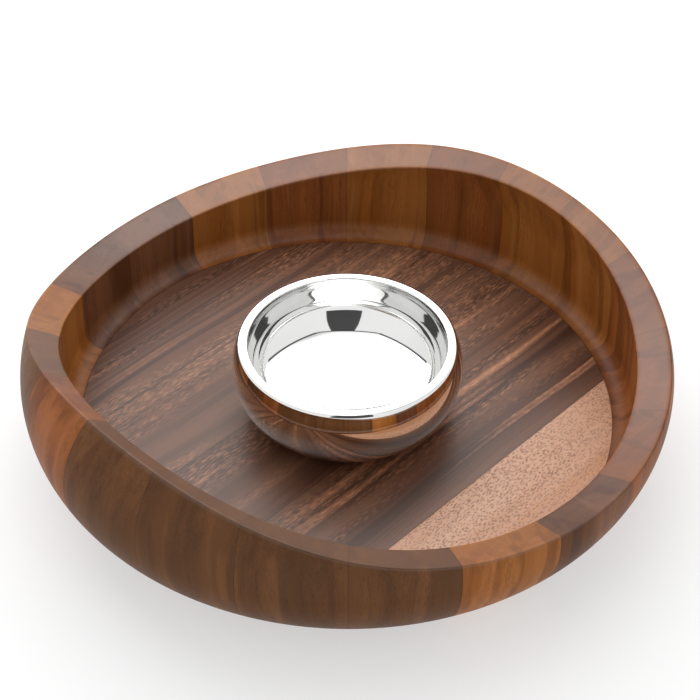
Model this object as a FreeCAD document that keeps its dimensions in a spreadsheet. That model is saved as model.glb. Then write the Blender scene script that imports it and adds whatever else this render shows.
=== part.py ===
import FreeCAD, Part
import math
import os
import Sketcher

# Chip and dip server: a round staved wood tray whose rim rises and falls in two waves,
# with a loose cast metal dip bowl standing on the middle of its floor.
#
# Frame: +Z is up, the tray stands on z = 0, and the origin is under the middle of the tray.
# Staves are numbered counter-clockwise from +X, seen from above.
# Floor planks are numbered across the grain, from the front right to the back left.
# Lengths are in millimetres and angles in degrees.

SIZES = [
    # tray wall, as it is turned before the rim is cut
    ("tray_radius", 171.5, "outer radius at the widest height of the wall"),
    ("belly_height", 46.0, "height at which the wall is widest"),
    ("foot_inset", 32.5, "how far the foot lies inside the widest radius"),
    ("side_lean", 34.6, "how far the outside leans in at the blank's top"),
    ("wall_thickness", 18.8, "wall at its widest, before it leans in"),
    ("inner_turn_height", 41.7, "height above which the inside leans in"),
    ("inner_lean", 20.4, "how far the inside leans in at the blank's top"),
    ("cove_radius", 9.5, "hollow round between the inside wall and the floor"),
    ("stave_count", 20, "equal staves round the wall"),
    ("stave_turn", 0.6, "angle of the first glue joint from +X"),
    # rim: height of its top face over the tray's middle plane
    ("rim_height", 72.0, "mean height at the widest radius"),
    ("rim_wave", 23.8, "rise and fall of the two waves"),
    ("rim_dish", 0.47, "inward slope of the top face at the widest radius"),
    ("rim_tilt_across", 1.6, "extra height towards +X"),
    ("rim_tilt_back", -2.9, "extra height towards +Y"),
    ("rim_peak", 3.6, "sharpening of the wave crests"),
    ("rim_peak_skew", 1.5, "turn of the crest sharpening"),
    # floor
    ("floor_height", 12.5, "top of the floor"),
    ("ledge_thickness", 3.5, "ledge of the staves that the panel lies on"),
    ("panel_fit", 0.1, "radial room of the panel in its rebate"),
    ("ledge_width", 16.5, "how far the ledge reaches under the panel"),
    ("plank_count", 5, "floor planks"),
    ("plank_width", 58.0, "width of each plank but the outer two"),
    ("plank_shift", -1.0, "offset of the middle plank from the centre"),
    ("plank_turn", 47.0, "angle of the floor's grain from +X"),
    # dip bowl, heights measured from its own base
    ("bowl_radius", 61.2, "outer radius at the widest height"),
    ("bowl_belly_height", 29.0, "height at which the bowl is widest"),
    ("bowl_foot_inset", 18.6, "how far its flat base lies inside the widest radius"),
    ("bowl_height", 44.8, "top of the lip"),
    ("bowl_mouth_radius", 52.0, "inner edge of the lip"),
    ("bowl_rim_radius", 55.8, "outer edge of the lip's level top"),
    ("bowl_lip_radius", 2.6, "round of the lip's outer edge"),
    ("bowl_wall", 5.5, "wall at the widest height"),
    ("bowl_base_thickness", 4.0, "metal at the middle of the base"),
    ("bowl_side_radius", 24.0, "inside curve of the side"),
    ("bowl_dish_radius", 100.0, "inside curve of the dished floor"),
    ("bowl_seat_gap", 0.1, "room between the bowl's base and the tray's floor"),
]

doc = FreeCAD.newDocument("chip_and_dip_server")


def make_sheet():
    """The spreadsheet of driving sizes: one row each, with its value and what it is."""
    sheet = doc.addObject("Spreadsheet::Sheet", "sizes")
    for row, (alias, value, meaning) in enumerate(SIZES, start=1):
        sheet.set(f"A{row}", alias)
        sheet.set(f"B{row}", str(value))
        sheet.set(f"C{row}", meaning)
        sheet.setAlias(f"B{row}", alias)
    doc.recompute()
    return sheet


sheet = make_sheet()


def value_of(expression):
    """The number that an expression on the sheet gives."""
    return float(sheet.evalExpression(expression))


# Sizes that follow from the driving ones, as expressions on the sheet.
INNER_RADIUS = "(sizes.tray_radius - sizes.wall_thickness)"
FLOOR_RADIUS = f"({INNER_RADIUS} - sizes.cove_radius)"
PANEL_RADIUS = f"({FLOOR_RADIUS} - sizes.panel_fit)"
PANEL_THICKNESS = "(sizes.floor_height - sizes.ledge_thickness)"
LEDGE_RADIUS = f"({FLOOR_RADIUS} - sizes.ledge_width)"
FOOT_RADIUS = "(sizes.tray_radius - sizes.foot_inset)"
BLANK_HEIGHT = "(sizes.rim_height + sizes.rim_wave)"
STAVE_ANGLE = "(360 / sizes.stave_count)"


def arc_radius(rise, inset):
    """Radius of an arc that leaves a widest point upright and is `inset` further in after `rise`."""
    return f"((({rise}) ^ 2 + ({inset}) ^ 2) / (2 * ({inset})))"


def draw_outline(sketch, start, edges):
    """Draws a closed outline and pins it to the sheet.

    start is the first corner, as two expressions. Each edge is (end, radius, side): a straight
    line where radius is None, else an arc whose centre lies to the left or the right of the way
    from one corner to the next. Every corner is tied to the sketch's axes, and every arc has its
    radius, so the outline has no freedom left."""
    corners = [start] + [end for end, _radius, _side in edges[:-1]]
    ends = []
    for (corner, (end, radius, side)) in zip(corners, edges):
        first = FreeCAD.Vector(value_of(corner[0]), value_of(corner[1]), 0)
        last = FreeCAD.Vector(value_of(end[0]), value_of(end[1]), 0)
        if radius is None:
            index = sketch.addGeometry(Part.LineSegment(first, last), False)
            ends.append((index, 1, 2))
            continue
        size = value_of(radius)
        chord = last - first
        left = FreeCAD.Vector(-chord.y, chord.x, 0).normalize()
        reach = math.sqrt(max(size ** 2 - (chord.Length / 2) ** 2, 0))
        toward = 1 if side == "left" else -1
        centre = (first + last) * 0.5 + left * (reach * toward)
        angles = [math.atan2(p.y - centre.y, p.x - centre.x) for p in (first, last)]
        circle = Part.Circle(centre, FreeCAD.Vector(0, 0, 1), size)
        if side == "left":
            arc = Part.ArcOfCircle(circle, angles[0], angles[1])
            index = sketch.addGeometry(arc, False)
            ends.append((index, 1, 2))
        else:
            arc = Part.ArcOfCircle(circle, angles[1], angles[0])
            index = sketch.addGeometry(arc, False)
            ends.append((index, 2, 1))
        pin = sketch.addConstraint(Sketcher.Constraint("Radius", index, size))
        sketch.setExpression(f"Constraints[{pin}]", radius)
    for number, (index, first_end, _last_end) in enumerate(ends):
        before, _first, before_end = ends[number - 1]
        sketch.addConstraint(
            Sketcher.Constraint("Coincident", before, before_end, index, first_end)
        )
    for corner, (index, first_end, _last_end) in zip(corners, ends):
        for kind, axis, expression in (("DistanceX", -2, corner[0]), ("DistanceY", -1, corner[1])):
            if expression == "0":
                sketch.addConstraint(
                    Sketcher.Constraint("PointOnObject", index, first_end, axis)
                )
                continue
            size = value_of(expression)
            pin = sketch.addConstraint(
                Sketcher.Constraint(kind, -1, 1, index, first_end, size)
            )
            sketch.setExpression(f"Constraints[{pin}]", expression)


def turned_body(name, start, edges):
    """A body turned about Z from a closed outline: first coordinate radius, second height."""
    body = doc.addObject("PartDesign::Body", name)
    sketch = body.newObject("Sketcher::SketchObject", name + "_outline")
    plane = next(f for f in body.Origin.OriginFeatures if f.Role == "XZ_Plane")
    sketch.AttachmentSupport = [(plane, "")]
    sketch.MapMode = "FlatFace"
    draw_outline(sketch, start, edges)
    turning = body.newObject("PartDesign::Revolution", name + "_turning")
    turning.Profile = sketch
    turning.ReferenceAxis = (sketch, ["V_Axis"])
    turning.Angle = 360
    doc.recompute()
    return body


def make_wall_blank():
    """The turned ring of the tray: ledge, foot, bulged outside, leaning inside, cove, rebate."""
    top_rise = f"{BLANK_HEIGHT} - sizes.belly_height"
    inner_rise = f"{BLANK_HEIGHT} - sizes.inner_turn_height"
    cove_top = "sizes.floor_height + sizes.cove_radius"
    lower = arc_radius("sizes.belly_height", "sizes.foot_inset")
    upper = arc_radius(top_rise, "sizes.side_lean")
    inner = arc_radius(inner_rise, "sizes.inner_lean")
    start = (LEDGE_RADIUS, "0")
    edges = [
        ((FOOT_RADIUS, "0"), None, None),
        (("sizes.tray_radius", "sizes.belly_height"), lower, "left"),
        (("sizes.tray_radius - sizes.side_lean", BLANK_HEIGHT), upper, "left"),
        ((f"{INNER_RADIUS} - sizes.inner_lean", BLANK_HEIGHT), None, None),
        ((INNER_RADIUS, "sizes.inner_turn_height"), inner, "right"),
        ((INNER_RADIUS, cove_top), None, None),
        ((FLOOR_RADIUS, "sizes.floor_height"), "sizes.cove_radius", "right"),
        ((FLOOR_RADIUS, "sizes.ledge_thickness"), None, None),
        ((LEDGE_RADIUS, "sizes.ledge_thickness"), None, None),
        (start, None, None),
    ]
    return turned_body("wall_blank", start, edges)


def rim_level(x, y):
    """Height of the rim's top face at a place: two waves round the tray, a dish towards the
    middle, a slight tilt, and sharper crests, each a polynomial in x and y."""
    radius = sheet.tray_radius
    across = x / radius
    back = y / radius
    waves = sheet.rim_wave * 2 * across * back
    dish = sheet.rim_dish * radius * (across ** 2 + back ** 2 - 1) / 2
    tilt = sheet.rim_tilt_across * across + sheet.rim_tilt_back * back
    crests = sheet.rim_peak * (across ** 4 - 6 * across ** 2 * back ** 2 + back ** 4)
    skew = sheet.rim_peak_skew * 4 * across * back * (back ** 2 - across ** 2)
    return sheet.rim_height + waves + dish + tilt - crests - skew


def make_rim_trim():
    """The space above the rim's top face, which the turned ring is cut back by."""
    steps = 16
    half = 1.1 * sheet.tray_radius
    pitch = 2 * half / steps
    places = [-half + pitch * i for i in range(steps + 1)]
    grid = [[FreeCAD.Vector(x, y, rim_level(x, y)) for y in places] for x in places]
    surface = Part.BSplineSurface()
    surface.interpolate(grid)
    trim = doc.addObject("Part::Feature", "rim_trim")
    trim.Shape = surface.toShape().extrude(FreeCAD.Vector(0, 0, 2 * value_of(BLANK_HEIGHT)))
    return trim


def make_staves():
    """The wall: equal staves, each the part of the trimmed ring between two upright glue joints."""
    wall = doc.addObject("Part::Cut", "trimmed_wall")
    wall.Base = make_wall_blank()
    wall.Tool = make_rim_trim()
    doc.recompute()
    staves = []
    for number in range(int(sheet.stave_count)):
        label = f"stave_{number + 1:02d}"
        wedge = doc.addObject("Part::Cylinder", label + "_wedge")
        wedge.setExpression("Radius", "sizes.tray_radius * 2")
        wedge.setExpression("Height", BLANK_HEIGHT)
        wedge.setExpression("Angle", STAVE_ANGLE)
        wedge.setExpression(
            ".Placement.Rotation.Angle", f"sizes.stave_turn + {number} * {STAVE_ANGLE}"
        )
        stave = doc.addObject("Part::Common", label)
        stave.Base = wall
        stave.Tool = wedge
        stave.Label = label
        staves.append(stave)
    return staves


def make_floor_planks():
    """The floor: one round panel of planks glued edge to edge, on the staves' ledge."""
    panel = doc.addObject("Part::Cylinder", "floor_panel")
    panel.setExpression("Radius", PANEL_RADIUS)
    panel.setExpression("Height", PANEL_THICKNESS)
    panel.setExpression(".Placement.Base.z", "sizes.ledge_thickness")
    count = int(sheet.plank_count)
    planks = []
    for number in range(count):
        label = f"floor_plank_{number + 1}"
        near = f"(sizes.plank_shift + ({number} - sizes.plank_count / 2) * sizes.plank_width)"
        width = "sizes.plank_width"
        if number == 0:
            near = f"({near} - sizes.tray_radius)"
        if number in (0, count - 1):
            width = "sizes.plank_width + sizes.tray_radius"
        strip = doc.addObject("Part::Box", label + "_strip")
        strip.setExpression("Length", "2 * sizes.tray_radius")
        strip.setExpression("Width", width)
        strip.setExpression("Height", "2 * sizes.floor_height")
        strip.setExpression(".Placement.Rotation.Angle", "sizes.plank_turn")
        strip.setExpression(
            ".Placement.Base.x",
            f"-sizes.tray_radius * cos(sizes.plank_turn) - {near} * sin(sizes.plank_turn)",
        )
        strip.setExpression(
            ".Placement.Base.y",
            f"-sizes.tray_radius * sin(sizes.plank_turn) + {near} * cos(sizes.plank_turn)",
        )
        plank = doc.addObject("Part::Common", label)
        plank.Base = panel
        plank.Tool = strip
        plank.Label = label
        planks.append(plank)
    return planks


def make_dip_bowl():
    """The loose bowl: one casting with a bulged side, a lip with a level top and a flat base.

    Outside, the lip's round leaves its level top and meets the belly's curve without a corner.
    Inside, the dished floor, the side's curve and the lean in to the mouth meet so too."""
    belly = "sizes.bowl_belly_height"
    rise = f"(sizes.bowl_height - {belly})"
    reach = "(sizes.bowl_radius - sizes.bowl_rim_radius)"
    lip = "sizes.bowl_lip_radius"
    # An arc of radius R upright at the belly and one of the lip's radius, level at the rim,
    # touch where both lean alike: (R - lip)^2 = (R - reach)^2 + (rise - lip)^2.
    shoulder = f"((({reach}) ^ 2 + ({rise} - {lip}) ^ 2 - ({lip}) ^ 2) / (2 * ({reach} - {lip})))"
    share = f"({shoulder} / ({shoulder} - {lip}))"
    shoulder_r = f"sizes.bowl_radius - {shoulder} + ({shoulder} - {reach}) * {share}"
    shoulder_z = f"{belly} + ({rise} - {lip}) * {share}"
    foot = arc_radius(belly, "sizes.bowl_foot_inset")
    inner = "(sizes.bowl_radius - sizes.bowl_wall)"
    side = "sizes.bowl_side_radius"
    dish = "sizes.bowl_dish_radius"
    # The floor's arc is centred on the axis and the side's arc is upright at its widest, so the
    # line through both centres leans from the axis by an angle with this sine and cosine.
    sine = f"(({inner} - {side}) / ({dish} - {side}))"
    cosine = f"sqrt(1 - {sine} ^ 2)"
    dish_centre = f"(sizes.bowl_base_thickness + {dish})"
    widest = f"({dish_centre} - ({dish} - {side}) * {cosine})"
    throat = arc_radius(f"sizes.bowl_height - {widest}", f"{inner} - sizes.bowl_mouth_radius")
    start = ("0", "0")
    edges = [
        (("sizes.bowl_radius - sizes.bowl_foot_inset", "0"), None, None),
        (("sizes.bowl_radius", belly), foot, "left"),
        ((shoulder_r, shoulder_z), shoulder, "left"),
        (("sizes.bowl_rim_radius", "sizes.bowl_height"), lip, "left"),
        (("sizes.bowl_mouth_radius", "sizes.bowl_height"), None, None),
        ((inner, widest), throat, "right"),
        ((f"{dish} * {sine}", f"{dish_centre} - {dish} * {cosine}"), side, "right"),
        (("0", "sizes.bowl_base_thickness"), dish, "right"),
        (start, None, None),
    ]
    bowl = turned_body("dip_bowl", start, edges)
    bowl.Label = "dip_bowl"
    bowl.setExpression(".Placement.Base.z", "sizes.floor_height + sizes.bowl_seat_gap")
    return bowl


def check(parts):
    """Stops with a message if anything in the document failed or a part isn't one good solid."""
    for item in doc.Objects:
        if {"Invalid", "Error"} & set(item.State):
            raise RuntimeError(f"{item.Name} failed: {item.State}")
    for part in parts:
        shape = part.Shape
        if shape.isNull() or not shape.isValid():
            raise RuntimeError(f"{part.Label} has no valid shape")
        if len(shape.Solids) != 1:
            raise RuntimeError(f"{part.Label} has {len(shape.Solids)} solids, not one")


def write_steps(parts):
    """One STEP file for each part, named after it."""
    os.makedirs("parts", exist_ok=True)
    for part in parts:
        part.Shape.exportStep(os.path.join("parts", part.Label + ".step"))
        print(f"{part.Label}: {part.Shape.Volume / 1000:.2f} cm3")


parts = make_staves() + make_floor_planks() + [make_dip_bowl()]
doc.recompute()
check(parts)
write_steps(parts)
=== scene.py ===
"""Looks of a chip and dip server: a staved, oiled wood tray with a waved rim, and a polished
cast metal dip bowl standing in it. Lengths are in metres, +Z is up, the tray stands on z = 0."""
import math

import bpy
import numpy as np
from mathutils import Matrix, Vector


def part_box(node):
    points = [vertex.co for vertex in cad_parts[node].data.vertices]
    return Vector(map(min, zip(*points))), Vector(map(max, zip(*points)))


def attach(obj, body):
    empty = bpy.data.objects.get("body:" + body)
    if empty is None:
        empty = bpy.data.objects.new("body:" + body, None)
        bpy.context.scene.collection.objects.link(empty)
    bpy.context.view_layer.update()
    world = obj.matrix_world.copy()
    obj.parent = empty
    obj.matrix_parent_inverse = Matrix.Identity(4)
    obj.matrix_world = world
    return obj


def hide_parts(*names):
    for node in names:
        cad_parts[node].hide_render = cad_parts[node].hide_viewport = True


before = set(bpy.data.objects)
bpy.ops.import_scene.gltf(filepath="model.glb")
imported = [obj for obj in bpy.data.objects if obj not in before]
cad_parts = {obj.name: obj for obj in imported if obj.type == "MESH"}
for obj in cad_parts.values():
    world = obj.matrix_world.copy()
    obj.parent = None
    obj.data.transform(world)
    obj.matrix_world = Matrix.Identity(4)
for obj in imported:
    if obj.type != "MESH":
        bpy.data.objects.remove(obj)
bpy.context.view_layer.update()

MM = 0.001

# ---------------------------------------------------------------- sizes of the tray and bowl

TRAY_RADIUS = 171.5 * MM
BELLY_HEIGHT = 46.0 * MM
FOOT_INSET = 32.5 * MM
SIDE_LEAN = 34.6 * MM
WALL_THICKNESS = 18.8 * MM
INNER_TURN_HEIGHT = 41.7 * MM
INNER_LEAN = 20.4 * MM
COVE_RADIUS = 9.5 * MM
STAVE_COUNT = 20
STAVE_TURN = math.radians(0.6)
RIM_HEIGHT = 72.0 * MM
RIM_WAVE = 23.8 * MM
RIM_DISH = 0.47
RIM_TILT_ACROSS = 1.6 * MM
RIM_TILT_BACK = -2.9 * MM
RIM_PEAK = 3.6 * MM
RIM_PEAK_SKEW = 1.5 * MM
FLOOR_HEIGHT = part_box("floor_plank_3")[1].z
LEDGE_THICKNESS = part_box("floor_plank_3")[0].z
LEDGE_WIDTH = 16.5 * MM
PANEL_FIT = 0.1 * MM
PLANK_COUNT = 5
PLANK_WIDTH = 58.0 * MM
PLANK_SHIFT = -1.0 * MM
PLANK_TURN = math.radians(47.0)
BOWL_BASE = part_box("dip_bowl")[0].z
BOWL_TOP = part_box("dip_bowl")[1].z
BOWL_RADIUS = 61.2 * MM
BOWL_BELLY = 29.0 * MM
BOWL_FOOT_INSET = 18.6 * MM
BOWL_MOUTH = 52.0 * MM
BOWL_RIM = 55.8 * MM
BOWL_LIP = 2.6 * MM
BOWL_EDGE = 0.7 * MM
BOWL_WALL = 5.5 * MM
BOWL_THICKNESS = 4.0 * MM
BOWL_SIDE = 24.0 * MM
BOWL_DISH = 100.0 * MM
BOWL_INNER_BELLY = BOWL_THICKNESS + BOWL_DISH - math.sqrt(
    (BOWL_DISH - BOWL_SIDE) ** 2 - (BOWL_RADIUS - BOWL_WALL - BOWL_SIDE) ** 2)

INNER_RADIUS = TRAY_RADIUS - WALL_THICKNESS
FLOOR_RADIUS = INNER_RADIUS - COVE_RADIUS
PANEL_RADIUS = FLOOR_RADIUS - PANEL_FIT
LEDGE_RADIUS = FLOOR_RADIUS - LEDGE_WIDTH
FOOT_RADIUS = TRAY_RADIUS - FOOT_INSET
BLANK_HEIGHT = RIM_HEIGHT + RIM_WAVE
BOWL_HEIGHT = BOWL_TOP - BOWL_BASE

RIM_ROUND_OUT = 1.1 * MM
RIM_ROUND_IN = 1.0 * MM
FOOT_ROUND = 1.2 * MM

# Points along each run of a section, and across or round each piece.
ROUND_STEPS = 7
FOOT_STEPS = 6
WALL_STEPS = 26
RIM_STEPS = 12
INSIDE_STEPS = 30
COVE_STEPS = 14
STAVE_COLUMNS = 22
PLANK_ROWS = 31
PLANK_COLUMNS = 61
BOWL_TURNS = 256
BOWL_BASE_STEPS = 12
BOWL_FOOT_STEPS = 40
BOWL_SHOULDER_STEPS = 24
BOWL_LIP_STEPS = 24
BOWL_EDGE_STEPS = 8
BOWL_THROAT_STEPS = 30
BOWL_SIDE_STEPS = 50
BOWL_DISH_STEPS = 40


def arc_radius(rise, inset):
    """Radius of an arc that leaves a widest point upright and is `inset` further in after `rise`."""
    return (rise ** 2 + inset ** 2) / (2 * inset)


LOWER_ARC = arc_radius(BELLY_HEIGHT, FOOT_INSET)
UPPER_ARC = arc_radius(BLANK_HEIGHT - BELLY_HEIGHT, SIDE_LEAN)
INNER_ARC = arc_radius(BLANK_HEIGHT - INNER_TURN_HEIGHT, INNER_LEAN)


# ---------------------------------------------------------------- mesh helpers

def mesh_object(name, points, faces, attributes=None, sharp_angle=35.0):
    """A smooth-shaded object at the origin from points and faces, with values for each point."""
    mesh = bpy.data.meshes.new(name)
    mesh.from_pydata(np.asarray(points).tolist(), [], faces)
    for key, values in (attributes or {}).items():
        layer = mesh.attributes.new(key, "FLOAT", "POINT")
        layer.data.foreach_set("value", np.asarray(values, dtype=np.float32))
    mesh.update()
    mesh.polygons.foreach_set("use_smooth", np.ones(len(mesh.polygons), dtype=bool))
    mesh.set_sharp_from_angle(angle=math.radians(sharp_angle))
    piece = bpy.data.objects.new(name, mesh)
    bpy.context.scene.collection.objects.link(piece)
    return piece


def grid_faces(rows, columns, wrap_rows=False, wrap_columns=False):
    """Quads of a grid of points stored row by row; the last row or column may join the first."""
    row = np.arange(rows if wrap_rows else rows - 1)
    column = np.arange(columns if wrap_columns else columns - 1)
    i, j = np.meshgrid(row, column, indexing="ij")
    after_i = (i + 1) % rows
    after_j = (j + 1) % columns
    quads = [i * columns + j, after_i * columns + j, after_i * columns + after_j, i * columns + after_j]
    return np.stack([q.ravel() for q in quads], axis=1)


def rounded_corner(corner, before, after, radius, steps):
    """Points of a round of the given radius in a corner, from its touching point on the side of
    the unit direction `before` to that on the side of `after`: a rational quadratic curve whose
    middle weight, the sine of half the corner's angle, makes it a true circle arc."""
    cosine = np.sum(before * after, axis=-1, keepdims=True)
    half = np.arccos(np.clip(cosine, -1, 1)) / 2
    reach = radius / np.tan(half)
    first = corner + before * reach
    last = corner + after * reach
    s = np.linspace(0, 1, steps)[:, None, None]
    weight = np.sin(half)[None]
    over = (1 - s) ** 2 * first + 2 * weight * s * (1 - s) * corner + s ** 2 * last
    under = (1 - s) ** 2 + 2 * weight * s * (1 - s) + s ** 2
    return over / under


# ---------------------------------------------------------------- tray wall

def outside_radius(z):
    """Outer wall: one arc below the belly and one above it, both upright at the belly."""
    rise = z - BELLY_HEIGHT
    arc = np.where(rise > 0, UPPER_ARC, LOWER_ARC)
    return TRAY_RADIUS - arc + np.sqrt(np.maximum(arc ** 2 - rise ** 2, 0))


def inside_radius(z):
    """Inner wall: upright up to the turn height, and an arc that leans in above it."""
    rise = np.maximum(z - INNER_TURN_HEIGHT, 0)
    return INNER_RADIUS - INNER_ARC + np.sqrt(INNER_ARC ** 2 - rise ** 2)


def rim_level(radius, angle):
    """Height of the rim's top face: two waves round the tray, a dish towards the middle, a slight
    tilt, and sharper crests, each a polynomial in x and y over the tray's radius."""
    across = radius * np.cos(angle) / TRAY_RADIUS
    back = radius * np.sin(angle) / TRAY_RADIUS
    waves = RIM_WAVE * 2 * across * back
    dish = RIM_DISH * TRAY_RADIUS * (across ** 2 + back ** 2 - 1) / 2
    tilt = RIM_TILT_ACROSS * across + RIM_TILT_BACK * back
    crests = RIM_PEAK * (across ** 4 - 6 * across ** 2 * back ** 2 + back ** 4)
    skew = RIM_PEAK_SKEW * 4 * across * back * (back ** 2 - across ** 2)
    return RIM_HEIGHT + waves + dish + tilt - crests - skew


def rim_crossing(radius_at, angle):
    """Height at which a wall meets the rim's top face, found by stepping half way there."""
    z = np.full_like(angle, RIM_HEIGHT)
    for _step in range(60):
        z = 0.5 * z + 0.5 * rim_level(radius_at(z), angle)
    return z


def unit(vectors):
    """The same directions with length one."""
    return vectors / np.linalg.norm(vectors, axis=-1, keepdims=True)


def wall_curve(radius_at, low, high, steps):
    """Points (radius, height) on a wall between two heights, one column for each angle."""
    z = low + (high - low) * np.linspace(0, 1, steps)[:, None]
    return np.stack([radius_at(z), z], axis=-1)


def slope_down(radius_at, z):
    """Unit direction down along a wall at a height."""
    step = 0.05 * MM
    drop = np.full_like(z, -2 * step)
    return unit(np.stack([radius_at(z - step) - radius_at(z + step), drop], axis=-1))


def stave_section(angle):
    """The stave's closed section at each angle, as (point, angle, radius and height), with how
    much each point belongs to the rim's end grain, and how much it is polished."""
    count = len(angle)
    top_out = rim_crossing(outside_radius, angle)
    top_in = rim_crossing(inside_radius, angle)
    crest_out = np.stack([outside_radius(top_out), top_out], axis=-1)
    crest_in = np.stack([inside_radius(top_in), top_in], axis=-1)
    step = 0.5 * MM
    at_out = (rim_level(crest_out[:, 0] - step, angle) - top_out) / -step
    at_in = (rim_level(crest_in[:, 0] + step, angle) - top_in) / step
    inward = unit(np.stack([-np.ones(count), -at_out], axis=-1))
    outward = unit(np.stack([np.ones(count), at_in], axis=-1))
    edge_out = rounded_corner(crest_out, slope_down(outside_radius, top_out), inward, RIM_ROUND_OUT,
                             ROUND_STEPS)
    edge_in = rounded_corner(crest_in, outward, slope_down(inside_radius, top_in), RIM_ROUND_IN,
                            ROUND_STEPS)

    def fixed(pairs):
        return np.repeat(np.array(pairs, dtype=float)[:, None, :], count, axis=1)

    foot_corner = fixed([(FOOT_RADIUS, 0.0)])[0]
    upward = -slope_down(outside_radius, np.full(count, 0.3 * MM))
    foot_edge = rounded_corner(foot_corner, fixed([(-1.0, 0.0)])[0], upward, FOOT_ROUND, FOOT_STEPS)
    lower = wall_curve(outside_radius, foot_edge[-1, :, 1], np.full(count, BELLY_HEIGHT), WALL_STEPS)
    upper = wall_curve(outside_radius, np.full(count, BELLY_HEIGHT), edge_out[0, :, 1], WALL_STEPS)
    share = np.linspace(0, 1, RIM_STEPS)[1:-1, None]
    top_radius = edge_out[-1, :, 0] + (edge_in[0, :, 0] - edge_out[-1, :, 0]) * share
    top = np.stack([top_radius, rim_level(top_radius, angle)], axis=-1)
    cove_top = np.full(count, FLOOR_HEIGHT + COVE_RADIUS)
    leaning = wall_curve(inside_radius, edge_in[-1, :, 1], cove_top, INSIDE_STEPS)
    bend = np.linspace(0, math.pi / 2, COVE_STEPS)
    cove = fixed(np.stack([FLOOR_RADIUS + COVE_RADIUS * np.cos(bend),
                           FLOOR_HEIGHT + COVE_RADIUS - COVE_RADIUS * np.sin(bend)], axis=-1))
    under = fixed([(FLOOR_RADIUS, LEDGE_THICKNESS), (LEDGE_RADIUS, LEDGE_THICKNESS),
                   (LEDGE_RADIUS, 0.0)])
    # Each run of points with its share of end grain and of polish.
    turned = np.linspace(0, 0.8, len(cove) - 1)
    runs = [
        (foot_edge, 0, 0),
        (lower[1:], 0, 0),
        (upper[1:-1], 0, 0.1),
        (edge_out, 0.5, 0.6),
        (top, 1, 1),
        (edge_in, 0.5, 0.6),
        (leaning[1:], 0, 0.15),
        (cove[1:], turned, 0.3),
        (under, 0, 0),
    ]
    section = np.concatenate([points for points, _grain, _polish in runs])
    grain = np.concatenate([np.zeros(len(points)) + value for points, value, _polish in runs])
    polish = np.concatenate([np.zeros(len(points)) + value for points, _grain, value in runs])
    return section, grain, polish


def make_stave(number):
    """One stave: the section carried round its share of the ring, closed by its two joint faces."""
    columns = STAVE_COLUMNS
    width = 2 * math.pi / STAVE_COUNT
    first = STAVE_TURN + number * width
    angle = first + width * np.linspace(0, 1, columns)
    section, grain, polish = stave_section(angle)
    rows = len(section)
    radius, height = section[..., 0], section[..., 1]
    points = np.stack([radius * np.cos(angle), radius * np.sin(angle), height], axis=-1)
    joint = radius * np.minimum(angle - first, first + width - angle)
    faces = grid_faces(rows, columns, wrap_rows=True)[:, ::-1].tolist()
    faces.append((np.arange(rows) * columns).tolist())
    faces.append((np.arange(rows) * columns + columns - 1)[::-1].tolist())
    attributes = {
        "end_grain": np.repeat(grain[:, None], columns, axis=1).ravel(),
        "polish": np.repeat(polish[:, None], columns, axis=1).ravel(),
        "joint_distance": joint.ravel(),
    }
    return mesh_object(f"stave_{number + 1:02d}_wood", points.reshape(-1, 3), faces, attributes)


# ---------------------------------------------------------------- tray floor

PLANK_POLISH = 0.8


def make_plank(number):
    """One floor plank: a strip of the round panel, from the near to the far glue line and out to
    the panel's edge at both ends, with a top, an underside and a rim."""
    near = PLANK_SHIFT + (number - PLANK_COUNT / 2) * PLANK_WIDTH
    far = near + PLANK_WIDTH
    low = max(near, -PANEL_RADIUS) if number else -PANEL_RADIUS
    high = min(far, PANEL_RADIUS) if number < PLANK_COUNT - 1 else PANEL_RADIUS
    ease = (1 - np.cos(np.linspace(0, math.pi, PLANK_ROWS))) / 2
    across = (low + (high - low) * ease)[:, None]
    along = np.sin(np.linspace(-1, 1, PLANK_COLUMNS) * math.pi / 2)[None, :]
    reach = np.sqrt(np.maximum(PANEL_RADIUS ** 2 - across ** 2, (0.2 * MM) ** 2))
    run = along * reach
    side = np.broadcast_to(across, run.shape)
    x = run * math.cos(PLANK_TURN) - side * math.sin(PLANK_TURN)
    y = run * math.sin(PLANK_TURN) + side * math.cos(PLANK_TURN)
    top = np.stack([x, y, np.full_like(x, FLOOR_HEIGHT)], axis=-1).reshape(-1, 3)
    bottom = np.stack([x, y, np.full_like(x, LEDGE_THICKNESS)], axis=-1).reshape(-1, 3)
    quads = grid_faces(PLANK_ROWS, PLANK_COLUMNS)
    count = len(top)
    index = np.arange(count).reshape(PLANK_ROWS, PLANK_COLUMNS)
    border = np.concatenate([index[0, :-1], index[:-1, -1], index[-1, :0:-1], index[:0:-1, 0]])
    after = np.roll(border, -1)
    rim = np.stack([border, border + count, after + count, after], axis=1)
    faces = quads[:, ::-1].tolist() + (quads + count).tolist() + rim.tolist()
    distance = np.minimum(side - near, far - side)
    distance = np.minimum(distance, PANEL_RADIUS - np.hypot(run, side))
    attributes = {
        "joint_distance": np.tile(np.maximum(distance, 0).ravel(), 2),
        "polish": np.repeat([PLANK_POLISH, 0.0], count),
    }
    points = np.concatenate([top, bottom])
    return mesh_object(f"floor_plank_{number + 1}_wood", points, faces, attributes)


# ---------------------------------------------------------------- dip bowl

def arc_points(centre, radius, start, end, steps):
    """Points of an arc from one angle to another, in degrees."""
    turn = np.radians(np.linspace(start, end, steps))
    return np.stack([centre[0] + radius * np.cos(turn), centre[1] + radius * np.sin(turn)], axis=-1)


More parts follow.
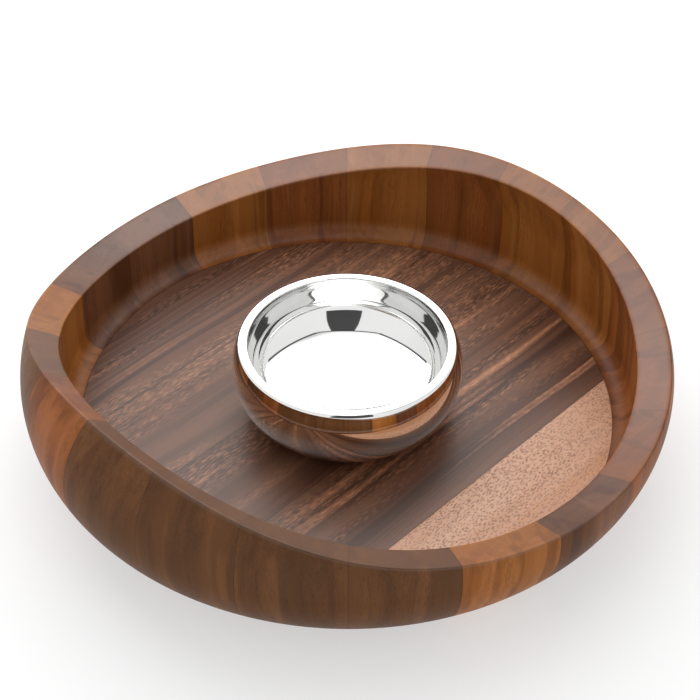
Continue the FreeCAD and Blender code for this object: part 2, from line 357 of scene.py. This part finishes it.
def bowl_profile():
    """The bowl's half section from the middle of its base, round the lip, to the middle of its
    floor: arcs that meet without a corner, as (radius, height)."""
    reach = BOWL_RADIUS - BOWL_RIM
    rise = BOWL_HEIGHT - BOWL_BELLY
    shoulder = (reach ** 2 + (rise - BOWL_LIP) ** 2 - BOWL_LIP ** 2) / (2 * (reach - BOWL_LIP))
    lean = math.degrees(math.atan2(rise - BOWL_LIP, shoulder - reach))
    foot = arc_radius(BOWL_BELLY, BOWL_FOOT_INSET)
    foot_turn = math.degrees(math.asin(BOWL_BELLY / foot))
    inner = BOWL_RADIUS - BOWL_WALL
    inner_rise = BOWL_HEIGHT - BOWL_INNER_BELLY
    throat = arc_radius(inner_rise, inner - BOWL_MOUTH)
    throat_turn = math.degrees(math.asin(inner_rise / throat))
    turn = math.asin((inner - BOWL_SIDE) / (BOWL_DISH - BOWL_SIDE))
    side_turn = math.degrees(turn) - 90
    dish_centre = BOWL_THICKNESS + BOWL_DISH
    base_radius = BOWL_RADIUS - BOWL_FOOT_INSET
    base = np.linspace(0, base_radius, BOWL_BASE_STEPS)
    mouth = np.array([[BOWL_MOUTH, BOWL_HEIGHT]])
    down = np.array([[math.sin(math.radians(throat_turn)), -math.cos(math.radians(throat_turn))]])
    edge = rounded_corner(mouth, np.array([[1.0, 0.0]]), down, BOWL_EDGE,
                          BOWL_EDGE_STEPS)[:, 0]
    left = math.degrees(math.asin((edge[-1, 1] - BOWL_INNER_BELLY) / throat))
    runs = [
        np.stack([base, np.zeros_like(base)], axis=-1),
        arc_points((BOWL_RADIUS - foot, BOWL_BELLY), foot, -foot_turn, 0,
                   BOWL_FOOT_STEPS)[1:],
        arc_points((BOWL_RADIUS - shoulder, BOWL_BELLY), shoulder, 0, lean,
                   BOWL_SHOULDER_STEPS)[1:],
        arc_points((BOWL_RIM, BOWL_HEIGHT - BOWL_LIP), BOWL_LIP, lean, 90,
                   BOWL_LIP_STEPS)[1:],
        edge,
        arc_points((inner - throat, BOWL_INNER_BELLY), throat, left, 0,
                   BOWL_THROAT_STEPS)[1:],
        arc_points((inner - BOWL_SIDE, BOWL_INNER_BELLY), BOWL_SIDE, 0, side_turn,
                   BOWL_SIDE_STEPS)[1:],
        arc_points((0, dish_centre), BOWL_DISH, side_turn, -90, BOWL_DISH_STEPS)[1:],
    ]
    return np.concatenate(runs)


def make_dip_bowl():
    """The bowl: its half section turned once round, closed at the middle of its base and floor."""
    profile = bowl_profile()
    angle = np.linspace(0, 2 * math.pi, BOWL_TURNS, endpoint=False)
    ring = profile[1:-1]
    radius = ring[:, 0][:, None]
    height = np.broadcast_to(BOWL_BASE + ring[:, 1][:, None], (len(ring), BOWL_TURNS))
    points = np.stack([radius * np.cos(angle), radius * np.sin(angle), height], axis=-1).reshape(-1, 3)
    under, inside = len(points), len(points) + 1
    points = np.concatenate([points, [[0, 0, BOWL_BASE], [0, 0, BOWL_BASE + BOWL_THICKNESS]]])
    first = np.arange(BOWL_TURNS)
    after = np.roll(first, -1)
    last = (len(ring) - 1) * BOWL_TURNS
    base_fan = np.stack([np.full(BOWL_TURNS, under), after, first], axis=1)
    floor_fan = np.stack([np.full(BOWL_TURNS, inside), last + first, last + after], axis=1)
    quads = grid_faces(len(ring), BOWL_TURNS, wrap_columns=True)[:, ::-1]
    faces = quads.tolist() + base_fan.tolist() + floor_fan.tolist()
    return mesh_object("dip_bowl_metal", points, faces, sharp_angle=50.0)


# ---------------------------------------------------------------- materials

class Surface:
    """A material's nodes, with short calls that add one and join it up."""

    def __init__(self, name):
        self.material = bpy.data.materials.new(name)
        self.material.use_nodes = True
        self.tree = self.material.node_tree
        self.shader = self.tree.nodes["Principled BSDF"]

    def node(self, kind, inputs=None, **settings):
        made = self.tree.nodes.new(kind)
        for key, value in settings.items():
            setattr(made, key, value)
        for key, value in (inputs or {}).items():
            self.put(made.inputs[key], value)
        return made

    def put(self, socket, value):
        if isinstance(value, bpy.types.NodeSocket):
            self.tree.links.new(value, socket)
        else:
            socket.default_value = value

    def mapping(self, vector, **changes):
        """The vector scaled, turned and moved."""
        inputs = {key.capitalize(): value for key, value in changes.items()}
        return self.node("ShaderNodeMapping", {"Vector": vector, **inputs}).outputs[0]

    def vector_math(self, operation, first, second):
        made = self.node("ShaderNodeVectorMath", {0: first, 1: second}, operation=operation)
        return made.outputs[0]

    def math(self, operation, first, second=0.0, third=0.0):
        made = self.node("ShaderNodeMath", {0: first, 1: second, 2: third}, operation=operation)
        return made.outputs[0]

    def noise(self, vector, scale, detail=2.0, roughness=0.5, stretch=None):
        """Noise from 0 to 1, finer by stretch along each axis."""
        if stretch:
            vector = self.mapping(vector, scale=stretch)
        made = self.node("ShaderNodeTexNoise", {"Vector": vector, "Scale": scale, "Detail": detail,
                                                "Roughness": roughness})
        return made.outputs["Fac"]

    def spread(self, value, low, high, to_low=0.0, to_high=1.0):
        """A value mapped smoothly from one range to another, and kept inside it."""
        made = self.node("ShaderNodeMapRange", {"Value": value, "From Min": low, "From Max": high,
                                                "To Min": to_low, "To Max": to_high},
                         interpolation_type="SMOOTHSTEP")
        return made.outputs[0]

    def mix(self, share, first, second, blend="MIX"):
        made = self.node("ShaderNodeMix", data_type="RGBA", blend_type=blend)
        self.put(made.inputs[0], share)
        self.put(made.inputs[6], first)
        self.put(made.inputs[7], second)
        return made.outputs[2]

    def dashes(self, vector, stretch, low, high):
        """Short strokes, one in each cell of a stretched cell pattern: 1 on a stroke, 0 off it."""
        cells = self.mapping(vector, scale=stretch)
        made = self.node("ShaderNodeTexVoronoi", {"Vector": cells, "Scale": 1.0})
        return self.spread(made.outputs["Distance"], low, high, 1.0, 0.0)

    def attribute(self, name):
        return self.node("ShaderNodeAttribute", attribute_name=name).outputs["Fac"]


def tone(red, green, blue):
    """A colour given as display values from 0 to 255, made linear."""
    shares = [value / 255 for value in (red, green, blue)]
    linear = [s / 12.92 if s <= 0.04045 else ((s + 0.055) / 1.055) ** 2.4 for s in shares]
    return (*linear, 1.0)


# Wood tones as dark, middle, light and ribbon.
WOODS = {
    "golden": (tone(108, 60, 20), tone(146, 86, 34), tone(168, 108, 52), tone(178, 114, 64)),
    "red": (tone(90, 45, 17), tone(128, 70, 28), tone(150, 90, 44), tone(164, 98, 58)),
    "mauve": (tone(70, 40, 22), tone(104, 62, 34), tone(134, 88, 60), tone(150, 102, 80)),
    "dark": (tone(82, 46, 22), tone(88, 55, 27), tone(110, 70, 36), tone(128, 82, 46)),
    "floor": (tone(58, 32, 20), tone(100, 65, 46), tone(126, 90, 68), tone(190, 132, 96)),
    "tan": (tone(112, 62, 34), tone(188, 136, 102), tone(200, 154, 124), tone(190, 130, 80)),
}

# Tone of each stave in order from stave_01.
STAVE_WOODS = ["red", "golden", "golden", "red", "golden", "red", "golden", "mauve", "mauve", "golden",
               "dark", "red", "dark", "dark", "dark", "dark", "golden", "mauve", "red", "red"]
PLANK_WOODS = ["tan", "floor", "floor", "floor", "floor"]
STAVE_SEED = 100
PLANK_SEED = 200
DASHED_WOOD = "tan"
DASH_SHARE = 0.80
OILED_PORE = tone(36, 20, 12)

# How fine each figure is along the grain and across it, in features to the metre.
WANDER = (6, 16, 16)
BROAD_TONES = (2.5, 45, 30)
BANDS = (2.2, 95, 40)
CALM_ZONES = (4, 60, 60)
STREAKS = (9, 330, 200)
STAVE_FIBRES = (26, 1400, 1000)
PLANK_FIBRES = (70, 1500, 1100)
PORES = (120, 1300, 1300)
STROKES = (190, 1350, 1350)
DASHES = (430, 1250, 1250)
DEEP_ZONES = (16, 24, 24)
RINGS = 130.0

# Darkest and lightest share of the streaks, share of the fibre lines, share of the open pores.
STAVE_SHADING = (0.88, 1.10, 0.12, 0.30)
PLANK_SHADING = (0.76, 1.22, 0.24, 0.66)
DASHED_SHADING = (0.94, 1.06, 0.05, 0.0)

# Width and strength of the dark glue lines.
STAVE_JOINT = (0.35 * MM, 0.5)
PLANK_JOINT = (0.6 * MM, 0.7)

# How far the grain wanders sideways, the radius at the wall's middle, and the share of the dark
# tone on end grain.
STAVE_SWAY = 0.022
PLANK_SWAY = 0.012
WALL_MIDDLE = 0.16
END_GRAIN_SHARE = 0.50


def grain_space(surface, rng, turn, upright):
    """Coordinates with X along the grain, and the same moved to the piece's own place in the
    wood. Both wander sideways by a few millimetres along the piece."""
    shift = tuple(rng.uniform(-3, 3, 3))
    raw = surface.node("ShaderNodeTexCoord").outputs["Object"]
    laid = surface.mapping(raw, rotation=(0, 0, -turn))
    if upright:
        laid = surface.mapping(laid, location=(-WALL_MIDDLE, 0, 0))
        laid = surface.mapping(laid, rotation=(0, math.pi / 2, 0))
    grain = surface.mapping(laid, location=shift)
    wander = surface.node("ShaderNodeTexNoise", {"Vector": surface.mapping(grain, scale=WANDER),
                                                 "Scale": 1.0, "Detail": 2.0})
    sway = STAVE_SWAY if upright else PLANK_SWAY
    pull = surface.vector_math("SUBTRACT", wander.outputs["Color"], (0.5, 0.5, 0.5))
    pull = surface.vector_math("MULTIPLY", pull, (0.0, sway, sway))
    return surface.vector_math("ADD", laid, pull), surface.vector_math("ADD", grain, pull)


def growth_rings(surface, rng, laid):
    """Growth rings: distance from a heart line beside the piece, in bands of uneven width."""
    heart = (rng.uniform(-0.05, 0.05), rng.uniform(0.05, 0.12) * rng.choice([-1, 1]))
    parts = surface.node("ShaderNodeSeparateXYZ", {0: laid})
    side = surface.math("SUBTRACT", parts.outputs[1], heart[0])
    depth = surface.math("SUBTRACT", parts.outputs[2], heart[1])
    radius = surface.math("SQRT", surface.math("ADD", surface.math("MULTIPLY", side, side),
                                               surface.math("MULTIPLY", depth, depth)))
    rings = surface.node("ShaderNodeTexNoise", {"W": radius, "Scale": RINGS, "Detail": 4.0,
                                                "Roughness": 0.65}, noise_dimensions="1D")
    return surface.spread(rings.outputs["Fac"], 0.35, 0.65)


def stave_colour(surface, tones, rings, broad, bands):
    """Stave wood: rings, pale stretches, and dark and ruddy bands along the grain."""
    dark, middle, light, ribbon = tones
    body = surface.mix(surface.math("MULTIPLY", rings, 0.5), middle, dark)
    body = surface.mix(surface.math("MULTIPLY", broad, 0.55), body, light)
    body = surface.mix(surface.spread(bands, 0.58, 0.66, 0.0, 0.6), body, dark)
    return surface.mix(surface.spread(bands, 0.30, 0.42, 0.35, 0.0), body, ribbon)


def plank_colour(surface, tones, grain, rings, broad, bands, calm):
    """Floor wood: short pale strokes gather in zones and along shimmering ribbons, with smooth
    grey wood between."""
    dark, middle, light, ribbon = tones
    strokes = surface.dashes(grain, STROKES, 0.22, 0.52)
    flame = surface.spread(bands, 0.56, 0.66)
    body = surface.mix(surface.math("MULTIPLY", rings, 0.8), middle, dark)
    body = surface.mix(surface.math("MULTIPLY", broad, 0.5), body, light)
    body = surface.mix(surface.math("MULTIPLY", flame, 0.6), body, ribbon)
    gathered = surface.math("MAXIMUM", surface.math("MULTIPLY", calm, 0.42), flame)
    return surface.mix(surface.math("MULTIPLY", strokes, gathered), body, ribbon)


def dashed_colour(surface, tones, grain, broad, bands, dash_share):
    """Pale wood of interlocked grain: close short dashes, stronger in some places."""
    dark, middle, light, ribbon = tones
    dash = surface.dashes(grain, DASHES, 0.26, 0.50)
    deep = surface.spread(surface.noise(grain, 1.0, 1.0, 0.5, DEEP_ZONES), 0.35, 0.65, 0.55, 1.0)
    share = surface.math("MULTIPLY", surface.math("MULTIPLY", dash, deep), dash_share)
    body = surface.mix(broad, light, middle)
    body = surface.mix(surface.spread(bands, 0.55, 0.68, 0.0, 0.6), body, ribbon)
    return surface.mix(share, body, dark)


def shade_grain(surface, body, grain, fibres, calm, shading):
    """Darkens and lightens a wood colour by streaks, fibre lines and pores, less in calm zones."""
    streak_low, streak_high, line, pore = shading
    streaks = surface.noise(grain, 1.0, 3.0, 0.65, STREAKS)
    pores = surface.dashes(grain, PORES, 0.16, 0.36)
    strong = surface.math("MULTIPLY", surface.spread(streaks, 0.32, 0.68, streak_low, streak_high),
                          surface.spread(fibres, 0.3, 0.7, 1 - line, 1 + line))
    share = surface.math("MULTIPLY_ADD", calm, 0.75, 0.25)
    shade = surface.math("MULTIPLY_ADD", surface.math("SUBTRACT", strong, 1.0), share, 1.0)
    grey = surface.node("ShaderNodeCombineColor", {0: shade, 1: shade, 2: shade}).outputs[0]
    body = surface.mix(1.0, body, grey, "MULTIPLY")
    pitted = surface.math("MULTIPLY", pores, surface.math("MULTIPLY", share, pore))
    return surface.mix(pitted, body, OILED_PORE), pores


def oil_finish(surface, fibres, pores):
    """Oiled finish: roughness and fine relief follow the fibres, and a satin coat lies where the
    wood is polished, weaker where it is seen at a slant."""
    shader = surface.shader
    relief = surface.math("SUBTRACT", surface.math("MULTIPLY", fibres, 0.4), pores)
    bump = surface.node("ShaderNodeBump", {"Height": relief, "Strength": 0.2, "Distance": 0.06 * MM})
    facing = surface.node("ShaderNodeLayerWeight", {"Blend": 0.5}).outputs["Facing"]
    satin = surface.math("MULTIPLY", surface.attribute("polish"),
                         surface.spread(facing, 0.10, 0.50, 1.0, 0.10))
    surface.put(shader.inputs["Roughness"], surface.spread(fibres, 0.3, 0.7, 0.40, 0.54))
    surface.put(shader.inputs["Normal"], bump.outputs[0])
    surface.put(shader.inputs["Coat Weight"], satin)
    shader.inputs["Specular IOR Level"].default_value = 0.10
    shader.inputs["Coat Roughness"].default_value = 0.40
    shader.inputs["Coat IOR"].default_value = 1.7


def wood(name, tones, seed, turn, upright, dash_share=0.0):
    """Oiled hardwood as a solid, with its figure drawn out along the grain.

    turn is the angle of the piece's own direction about Z. With upright the grain runs along Z,
    else along that direction. With dash_share the wood shows the short dashes of interlocked
    grain, that strongly."""
    surface = Surface(name)
    rng = np.random.default_rng(seed)
    laid, grain = grain_space(surface, rng, turn, upright)
    rings = growth_rings(surface, rng, laid)
    fibres = surface.noise(grain, 1.0, 3.0, 0.7, STAVE_FIBRES if upright else PLANK_FIBRES)
    broad = surface.spread(surface.noise(grain, 1.0, 2.0, 0.5, BROAD_TONES), 0.36, 0.64)
    bands = surface.noise(grain, 1.0, 2.0, 0.5, BANDS)
    calm = surface.spread(surface.noise(grain, 1.0, 1.0, 0.5, CALM_ZONES), 0.40, 0.56)
    if dash_share:
        body = dashed_colour(surface, tones, grain, broad, bands, dash_share)
        shading = DASHED_SHADING
    elif upright:
        body = stave_colour(surface, tones, rings, broad, bands)
        shading = STAVE_SHADING
    else:
        body = plank_colour(surface, tones, grain, rings, broad, bands, calm)
        shading = PLANK_SHADING
    body, pores = shade_grain(surface, body, grain, fibres, calm, shading)
    if upright:
        # End grain drinks more oil, so the rim's top is darker than the sides.
        drunk = surface.math("MULTIPLY", surface.attribute("end_grain"), END_GRAIN_SHARE)
        body = surface.mix(drunk, body, tones[0])
    width, strength = STAVE_JOINT if upright else PLANK_JOINT
    joint = surface.spread(surface.attribute("joint_distance"), 0.0, width, strength, 0.0)
    surface.put(surface.shader.inputs["Base Color"], surface.mix(joint, body, OILED_PORE))
    oil_finish(surface, fibres, pores)
    return surface.material


DULL_METAL = (0.84, 0.84, 0.83, 1)
BRIGHT_METAL = (0.90, 0.90, 0.895, 1)


def polished_metal():
    """Mirror-polished casting: bright and nearly smooth, with the faint waves of hand polishing
    and a haze of very fine scratches."""
    surface = Surface("polished_metal")
    raw = surface.node("ShaderNodeTexCoord").outputs["Object"]
    haze = surface.noise(raw, 900.0, 3.0, 0.7)
    surface.put(surface.shader.inputs["Roughness"], surface.spread(haze, 0.3, 0.7, 0.025, 0.06))
    stain = surface.spread(surface.noise(raw, 30.0, 3.0), 0.3, 0.7)
    surface.put(surface.shader.inputs["Base Color"], surface.mix(stain, DULL_METAL, BRIGHT_METAL))
    surface.shader.inputs["Metallic"].default_value = 1.0
    waves = surface.noise(raw, 45.0, 1.0)
    bump = surface.node("ShaderNodeBump", {"Height": waves, "Strength": 0.15, "Distance": 0.3 * MM})
    surface.put(surface.shader.inputs["Normal"], bump.outputs[0])
    return surface.material


# ---------------------------------------------------------------- pieces


def place(piece, body, node, material):
    """Gives a finished piece its material and the body it rides on, and hides the part it stands for.
    """
    piece.data.materials.append(material)
    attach(piece, body)
    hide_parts(node)


def make_tray():
    """The staves round the wall and the planks of the floor, each in its own wood."""
    for number in range(STAVE_COUNT):
        middle = STAVE_TURN + (number + 0.5) * 2 * math.pi / STAVE_COUNT
        name = STAVE_WOODS[number]
        seed = STAVE_SEED + number
        material = wood(f"{name}_stave_{number + 1:02d}", WOODS[name], seed, middle, True)
        place(make_stave(number), "tray", f"stave_{number + 1:02d}", material)
    for number in range(PLANK_COUNT):
        name = PLANK_WOODS[number]
        share = DASH_SHARE if name == DASHED_WOOD else 0.0
        seed = PLANK_SEED + number
        material = wood(f"{name}_plank_{number + 1}", WOODS[name], seed, PLANK_TURN, False, share)
        place(make_plank(number), "tray", f"floor_plank_{number + 1}", material)


# ---------------------------------------------------------------- studio

CAMERA_DISTANCE = 1.0177
CAMERA_RISE = 0.7171
CAMERA_ROLL = -0.0113
CAMERA_SIDE = -0.001284
CAMERA_LIFT = -0.038737
CAMERA_LENS = 95.85
LEVEL = np.array([1.0, 0, 0])
CAMERA_FORWARD = np.array([0, math.cos(CAMERA_RISE), -math.sin(CAMERA_RISE)])
CAMERA_UP = np.array([0, math.sin(CAMERA_RISE), math.cos(CAMERA_RISE)])
WORLD_GLOW = 0.92
TABLE_GLOW = 0.52
TABLE_SHADE = 0.45
TABLE_HALF = 4.0
TABLE_TOP = -0.0002
ROOF_GLOW_FRONT = 0.98
ROOF_GLOW_BACK = 3.0
TENT_HEIGHT = 1.35
TENT_SIDE = 0.52
TENT_FRONT = 0.25
FOLD_SIDE = 1.0
FOLD_BACK = 0.62
FOLD_HEIGHT = 0.71
FOOT_BACK = 1.3
FOOT_LEFT = -1.3
FOOT_RIGHT = 0.15
FRONT_SEAM_WIDTH = 0.07
SIDE_SEAM_WIDTH = 0.11
SEAM_DROP = 0.02
DIM_CORNER = [(-0.15, 1.35, 0.0), (1.8, 1.35, 0.0), (1.8, 1.35, 0.62), (-0.15, 1.35, 0.62)]
OPENING = [(-0.10, -0.26, 1.34), (0.26, -0.26, 1.34), (0.44, -1.0, 0.45), (-0.28, -1.0, 0.45)]
CLOTH_SHADE = 0.05
TAPE_SHADE = 0.12


def camera_axes():
    """The camera's right, up and forward directions."""
    cosine, sine = math.cos(CAMERA_ROLL), math.sin(CAMERA_ROLL)
    return LEVEL * cosine - CAMERA_UP * sine, LEVEL * sine + CAMERA_UP * cosine, CAMERA_FORWARD


def make_camera():
    """The camera: it looks down on the tray from the front, moved a little up and to the side."""
    right, up, forward = camera_axes()
    stands = -forward * CAMERA_DISTANCE - LEVEL * CAMERA_SIDE - CAMERA_UP * CAMERA_LIFT
    data = bpy.data.cameras.new("camera")
    data.lens = CAMERA_LENS
    data.sensor_width = 36.0
    data.clip_start = 0.01
    camera = bpy.data.objects.new("camera", data)
    matrix = np.eye(4)
    matrix[:3, 0], matrix[:3, 1], matrix[:3, 2], matrix[:3, 3] = right, up, -forward, stands
    camera.matrix_world = Matrix(matrix.tolist())
    bpy.context.scene.collection.objects.link(camera)
    bpy.context.scene.camera = camera


def flat_material(name, shade, glow=0.0):
    """Matt grey cloth or paper of one shade, which may glow white."""
    material = bpy.data.materials.new(name)
    material.use_nodes = True
    shader = material.node_tree.nodes["Principled BSDF"]
    shader.inputs["Base Color"].default_value = (shade, shade, shade, 1.0)
    shader.inputs["Roughness"].default_value = 0.9
    shader.inputs["Specular IOR Level"].default_value = 0.2
    shader.inputs["Emission Color"].default_value = (1.0, 1.0, 1.0, 1.0)
    shader.inputs["Emission Strength"].default_value = glow
    return material


def glowing_material(name, low, high):
    """Lit cloth: its glow grows from low to high on the way to the back, and fades to the right."""
    surface = Surface(name)
    raw = surface.node("ShaderNodeTexCoord").outputs["Object"]
    parts = surface.node("ShaderNodeSeparateXYZ", {0: raw})
    glow = surface.spread(parts.outputs[1], -0.2, 0.5, low, high)
    glow = surface.math("MULTIPLY", glow, surface.spread(parts.outputs[0], 0.12, 0.60, 1.0, 0.5))
    surface.put(surface.shader.inputs["Emission Strength"], glow)
    surface.shader.inputs["Emission Color"].default_value = (1.0, 1.0, 1.0, 1.0)
    surface.shader.inputs["Base Color"].default_value = (0.0, 0.0, 0.0, 1.0)
    return surface.material


def clear_from_below(material):
    """Makes a material show only on the front of its faces."""
    tree = material.node_tree
    mixed = tree.nodes.new("ShaderNodeMixShader")
    output = tree.nodes["Material Output"]
    tree.links.new(tree.nodes.new("ShaderNodeNewGeometry").outputs["Backfacing"], mixed.inputs[0])
    tree.links.new(tree.nodes["Principled BSDF"].outputs[0], mixed.inputs[1])
    tree.links.new(tree.nodes.new("ShaderNodeBsdfTransparent").outputs[0], mixed.inputs[2])
    tree.links.new(mixed.outputs[0], output.inputs["Surface"])


def make_card(name, corners, material, seen=False):
    """A flat card of the studio with the given corners, which lights the object and shows in its
    gloss. Only a seen one shows by itself, so no view is blocked by the tent."""
    mesh = bpy.data.meshes.new(name)
    points = [tuple(map(float, corner)) for corner in corners]
    mesh.from_pydata(points, [], [tuple(range(len(points)))])
    mesh.materials.append(material)
    card = bpy.data.objects.new(name, mesh)
    bpy.context.scene.collection.objects.link(card)
    card.visible_camera = seen
    return card


def make_strip(name, start, end, width, material):
    """A strip of the studio between two points, laid level across its width."""
    start, end = np.array(start), np.array(end)
    across = unit(np.cross(end - start, [0, 0.3, 1.0])) * width / 2
    return make_card(name, [start - across, start + across, end + across, end - across], material)


def make_studio():
    """A white tent on a white table: a bright roof that slopes down to the back, dark seams along
    its edges, a dim corner behind on the right, and a dark opening in the front, behind the
    camera. The world stands for the duller front and sides."""
    scene = bpy.context.scene
    world = bpy.data.worlds.new("studio")
    world.use_nodes = True
    background = world.node_tree.nodes["Background"]
    background.inputs["Color"].default_value = (1.0, 1.0, 1.0, 1.0)
    background.inputs["Strength"].default_value = WORLD_GLOW
    scene.world = world
    table = flat_material("white_table", TABLE_SHADE, TABLE_GLOW)
    clear_from_below(table)
    black = flat_material("black_cloth", CLOTH_SHADE)
    tape = flat_material("seam_tape", TAPE_SHADE)
    cloth = glowing_material("lit_cloth", ROOF_GLOW_FRONT, ROOF_GLOW_BACK)
    square = [(-1, -1), (1, -1), (1, 1), (-1, 1)]
    square = [(x * TABLE_HALF, y * TABLE_HALF, TABLE_TOP) for x, y in square]
    make_card("table", square, table, seen=True)
    front = [(side * TENT_SIDE, -TENT_FRONT, TENT_HEIGHT) for side in (-1, 1)]
    fold = [(side * FOLD_SIDE, FOLD_BACK, FOLD_HEIGHT) for side in (-1, 1)]
    foot = [(FOOT_LEFT, FOOT_BACK, 0.0), (FOOT_RIGHT, FOOT_BACK, 0.0)]
    make_card("roof_front", [front[0], front[1], fold[1], fold[0]], cloth)
    make_card("roof_back", [fold[0], fold[1], foot[1], foot[0]], cloth)
    make_card("dim_corner", DIM_CORNER, black)
    below = np.array([0, 0, -SEAM_DROP])
    make_strip("front_seam", front[0] + below, front[1] + below, FRONT_SEAM_WIDTH, tape)
    for side, start, end in zip(("left", "right"), front, fold):
        make_strip(f"{side}_seam", start + below, end + below, SIDE_SEAM_WIDTH, tape)
    make_card("opening", OPENING, black)
    scene.view_settings.view_transform = "Standard"
    scene.cycles.use_denoising = True
    scene.cycles.max_bounces = 12
    scene.cycles.glossy_bounces = 8


make_camera()
make_studio()
make_tray()
place(make_dip_bowl(), "dip_bowl", "dip_bowl", polished_metal())
